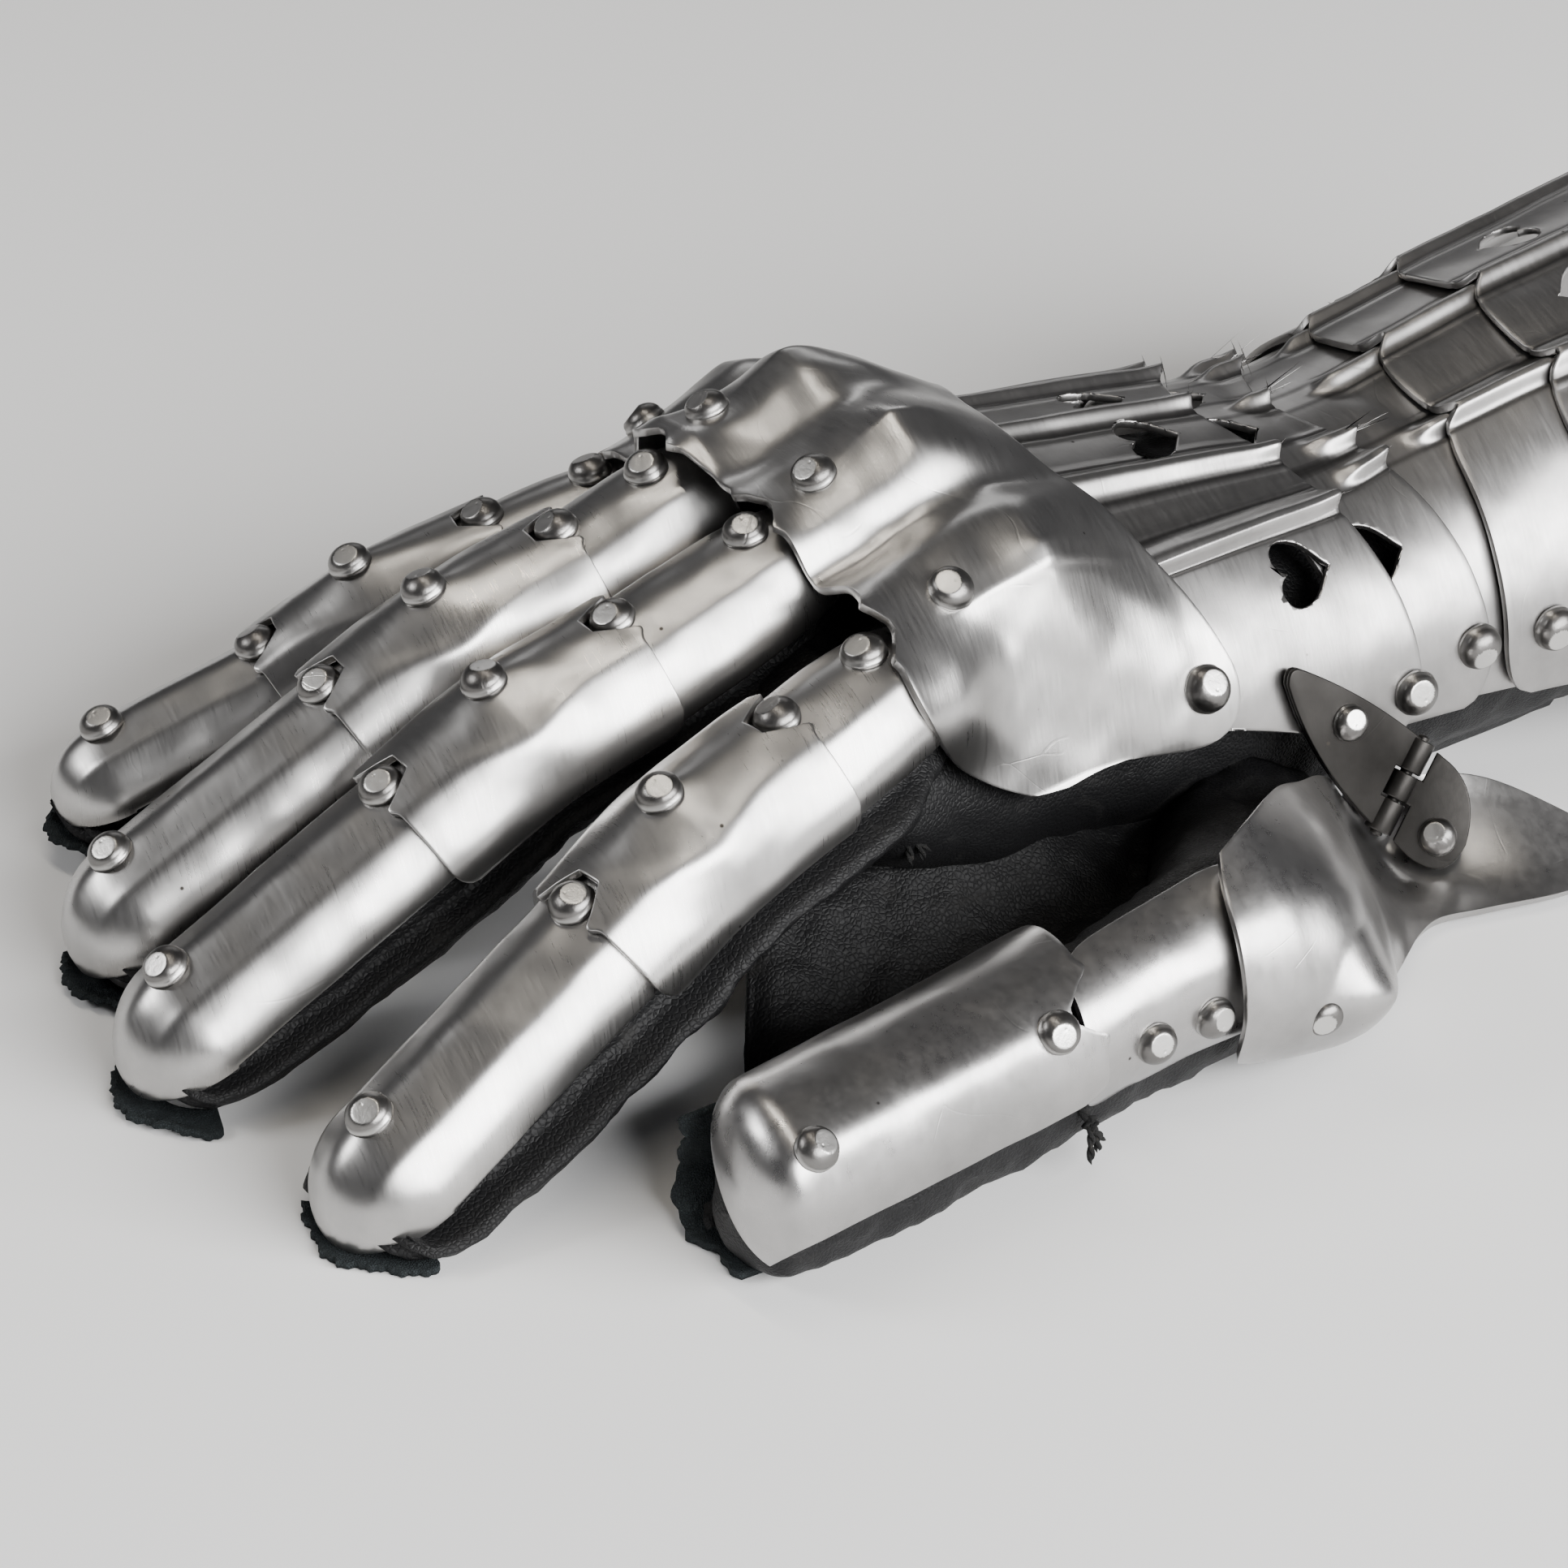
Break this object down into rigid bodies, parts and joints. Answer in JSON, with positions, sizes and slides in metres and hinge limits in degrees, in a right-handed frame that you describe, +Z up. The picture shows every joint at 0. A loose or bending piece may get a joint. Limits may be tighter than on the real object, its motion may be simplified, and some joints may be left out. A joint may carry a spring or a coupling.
{
  "type": "armoured gauntlet",
  "caption": "Right-hand plate gauntlet with articulated finger plates, fluted and pierced hand plates, a flared cuff and a hinged thumb guard over a leather glove.",
  "frame": {"origin": "bottom centre of the whole gauntlet's box, on the surface that it lies on", "axes": "+X towards the arm, -X towards the fingertips, -Y towards the thumb, +Z up, away from the palm"},
  "size_m": [0.331, 0.1696, 0.0885],
  "materials": {
    "steel": "satin, finely brushed",
    "dark_steel": "dark, worn",
    "black_leather": "matte grain",
    "suede": "raw suede"
  },
  "bodies": {
    "hand": {"rivet_metacarpal_thumb_side": "dark_steel", "rivet_metacarpal_little_side": "dark_steel", "index_proximal_plate": "steel", "index_middle_plate": "steel", "index_distal_plate": "steel", "leather_strip_index": "black_leather", "suede_tab_index": "suede", "glove_stall_index": "black_leather", "middle_proximal_plate": "steel", "middle_middle_plate": "steel", "middle_distal_plate": "steel", "leather_strip_middle": "black_leather", "suede_tab_middle": "suede", "glove_stall_middle": "black_leather", "ring_proximal_plate": "steel", "ring_middle_plate": "steel", "ring_distal_plate": "steel", "leather_strip_ring": "black_leather", "suede_tab_ring": "suede", "glove_stall_ring": "black_leather", "little_proximal_plate": "steel", "little_middle_plate": "steel", "little_distal_plate": "steel", "leather_strip_little": "black_leather", "suede_tab_little": "suede", "glove_stall_little": "black_leather", "knuckle_plate": "steel", "metacarpal_plate_1": "steel", "hinge_upper_leaf": "dark_steel", "hinge_pin": "dark_steel", "glove_hand": "black_leather"},
    "metacarpal_plate_2": {"rivet_wrist_thumb_side": "dark_steel", "rivet_wrist_little_side": "dark_steel", "metacarpal_plate_2": "steel"},
    "cuff_lame": {"rivet_lame_thumb_side": "dark_steel", "rivet_lame_little_side": "dark_steel", "cuff_lame": "steel"},
    "cuff_plate": {"rivet_cuff_thumb_side": "dark_steel", "rivet_cuff_little_side": "dark_steel", "cuff_plate": "steel"},
    "wrist_lame": {"wrist_lame": "steel"},
    "thumb": {"thumb_tip_plate": "steel", "thumb_middle_plate": "steel", "thumb_base_plate": "steel", "hinge_lower_leaf": "dark_steel", "glove_stall_thumb": "black_leather"}
  },
  "joints": [
    {"name": "thumb_hinge", "type": "hinge", "parent": "hand", "child": "thumb", "pos_m": [0.03136, -0.03216, 0.0105], "axis": [0.5855, 0.1301, 0.8002], "range_deg": [0, 20]},
    {"name": "metacarpal_pivot", "type": "hinge", "parent": "hand", "child": "metacarpal_plate_2", "pos_m": [0.04256, 0.01904, 0.0279], "axis": [0, -1, 0], "range_deg": [0, 5]},
    {"name": "wrist_pivot", "type": "hinge", "parent": "metacarpal_plate_2", "child": "wrist_lame", "pos_m": [0.05636, 0.01904, 0.031], "axis": [0, -1, 0], "range_deg": [-1, 5]},
    {"name": "lame_pivot", "type": "hinge", "parent": "wrist_lame", "child": "cuff_lame", "pos_m": [0.07086, 0.01904, 0.0305], "axis": [0, -1, 0], "range_deg": [-1, 5]},
    {"name": "cuff_pivot", "type": "hinge", "parent": "cuff_lame", "child": "cuff_plate", "pos_m": [0.08886, 0.01904, 0.031], "axis": [0, -1, 0], "range_deg": [-2, 6]}
  ]
}
